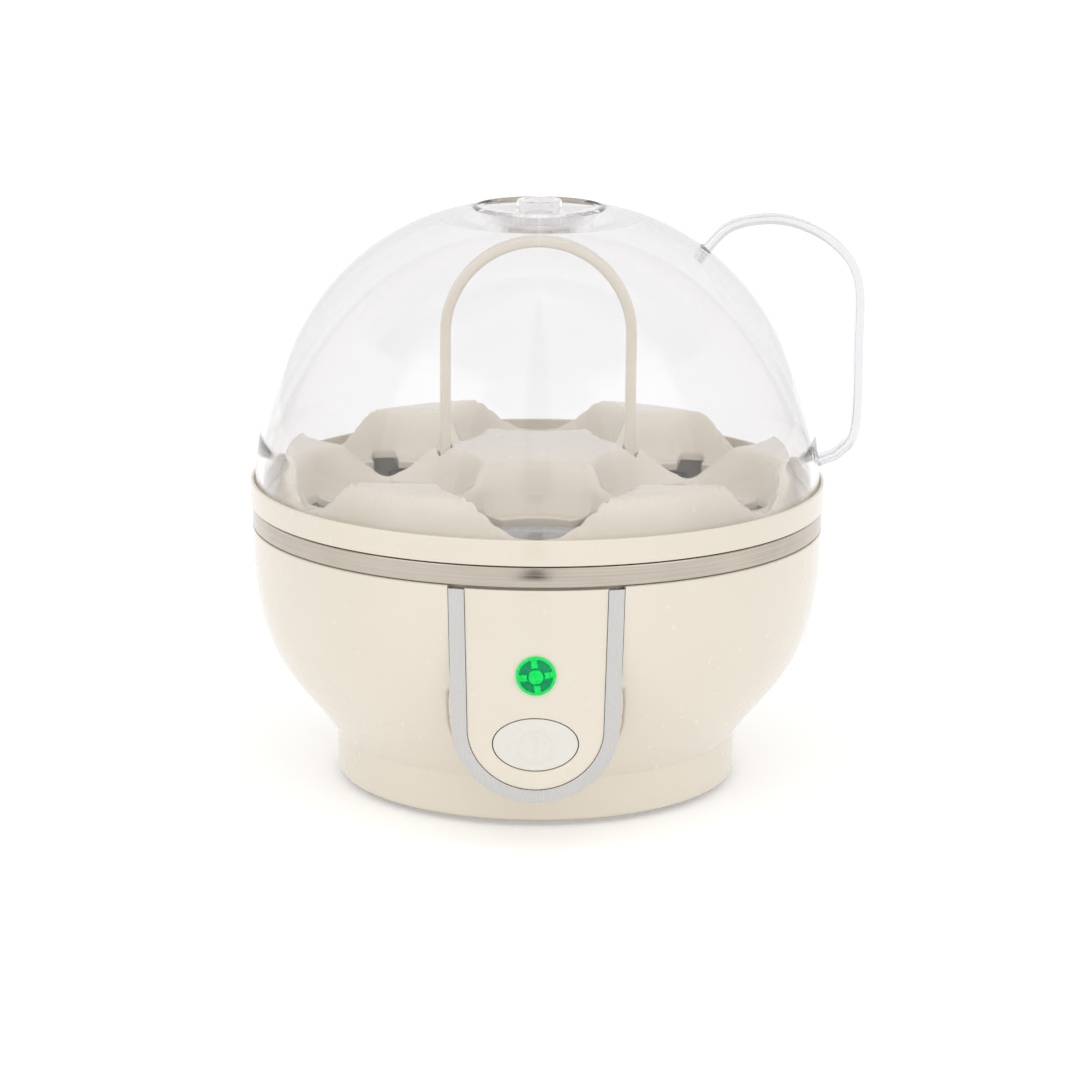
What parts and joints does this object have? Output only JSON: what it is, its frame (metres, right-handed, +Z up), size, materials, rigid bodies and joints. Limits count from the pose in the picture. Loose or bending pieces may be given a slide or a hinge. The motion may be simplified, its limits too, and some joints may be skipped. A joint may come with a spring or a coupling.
{
  "type": "egg cooker",
  "caption": "Electric egg steamer: cream bowl-shaped base with front lamp and push button, steel band, lift-out egg tray with arch handle, clear domed lid with side handle.",
  "frame": {"origin": "centre of the flat underside of the base's bottom cover, on the bowl's axis; the rubber feet reach 1.5 mm lower", "axes": "+Z up, the front with lamp and button faces -Y, the lid's handle is on the +X side"},
  "size_m": [0.1704, 0.1614, 0.1632],
  "materials": {
    "cream_plastic": "glossy moulded cream polypropylene",
    "button_plastic": "satin off-white moulding",
    "clear_plastic": "clear moulded plastic, polished",
    "brushed_steel": "brushed round the band",
    "satin_chrome": "satin chrome plating",
    "green_lens": "translucent green jewel, lit from behind",
    "lamp_glass": "neon lamp glass",
    "plate_steel": "pressed stainless steel",
    "zinc_steel": "zinc-plated or stainless steel",
    "aluminium": "plain aluminium",
    "dark_plastic": "black moulding",
    "natural_plastic": "uncoloured moulding",
    "silicone": "translucent silicone",
    "rubber": "matt black rubber",
    "fuse_sleeve": "woven glass-fibre sleeve",
    "wire_brown": "brown insulation",
    "wire_blue": "blue insulation",
    "wire_red": "red insulation",
    "wire_green": "green insulation"
  },
  "bodies": {
    "base": {"base_housing": "cream_plastic", "bottom_cover": "cream_plastic", "clamp_screw_1": "zinc_steel", "clamp_screw_2": "zinc_steel", "cord_clamp": "natural_plastic", "cord_gland": "dark_plastic", "cover_screw_1": "zinc_steel", "cover_screw_2": "zinc_steel", "cover_screw_3": "zinc_steel", "deck_ring": "cream_plastic", "deck_screw_1": "zinc_steel", "deck_screw_2": "zinc_steel", "deck_screw_3": "zinc_steel", "earth_screw": "zinc_steel", "element_clamp": "zinc_steel", "element_screw_1": "zinc_steel", "element_screw_2": "zinc_steel", "foot_1": "rubber", "foot_2": "rubber", "foot_3": "rubber", "foot_4": "rubber", "front_panel": "cream_plastic", "heat_shield": "aluminium", "heat_spreader": "aluminium", "heating_element": "zinc_steel", "heating_plate": "plate_steel", "indicator_lamp": "lamp_glass", "indicator_lens": "green_lens", "lamp_holder": "dark_plastic", "panel_trim": "satin_chrome", "plate_gasket": "silicone", "shield_screw_1": "zinc_steel", "shield_screw_2": "zinc_steel", "shield_screw_3": "zinc_steel", "steel_band": "brushed_steel", "switch_body": "dark_plastic", "switch_bracket": "natural_plastic", "switch_screw_1": "zinc_steel", "switch_screw_2": "zinc_steel", "switch_spring": "zinc_steel", "terminal_block": "natural_plastic", "thermal_fuse": "fuse_sleeve", "thermostat": "dark_plastic", "wire_earth": "wire_green", "wire_live": "wire_brown", "wire_load": "wire_red", "wire_neutral": "wire_blue"},
    "tray": {"egg_tray": "cream_plastic", "tray_handle": "cream_plastic"},
    "lid": {"lid_dome": "clear_plastic", "lid_handle": "clear_plastic"},
    "button": {"power_button": "button_plastic", "switch_plunger": "dark_plastic"}
  },
  "joints": [
    {"name": "tray_lift", "type": "slide", "parent": "base", "child": "tray", "axis": [0, 0, 1], "range_m": [0, 0.06]},
    {"name": "lid_lift", "type": "slide", "parent": "tray", "child": "lid", "axis": [0, 0, 1], "range_m": [0, 0.09]},
    {"name": "button_press", "type": "slide", "parent": "base", "child": "button", "axis": [0, 1, 0], "range_m": [0, 0.0025], "stiffness_N_per_m": 600, "springref_m": -0.002, "deforming": ["switch_spring"]}
  ]
}
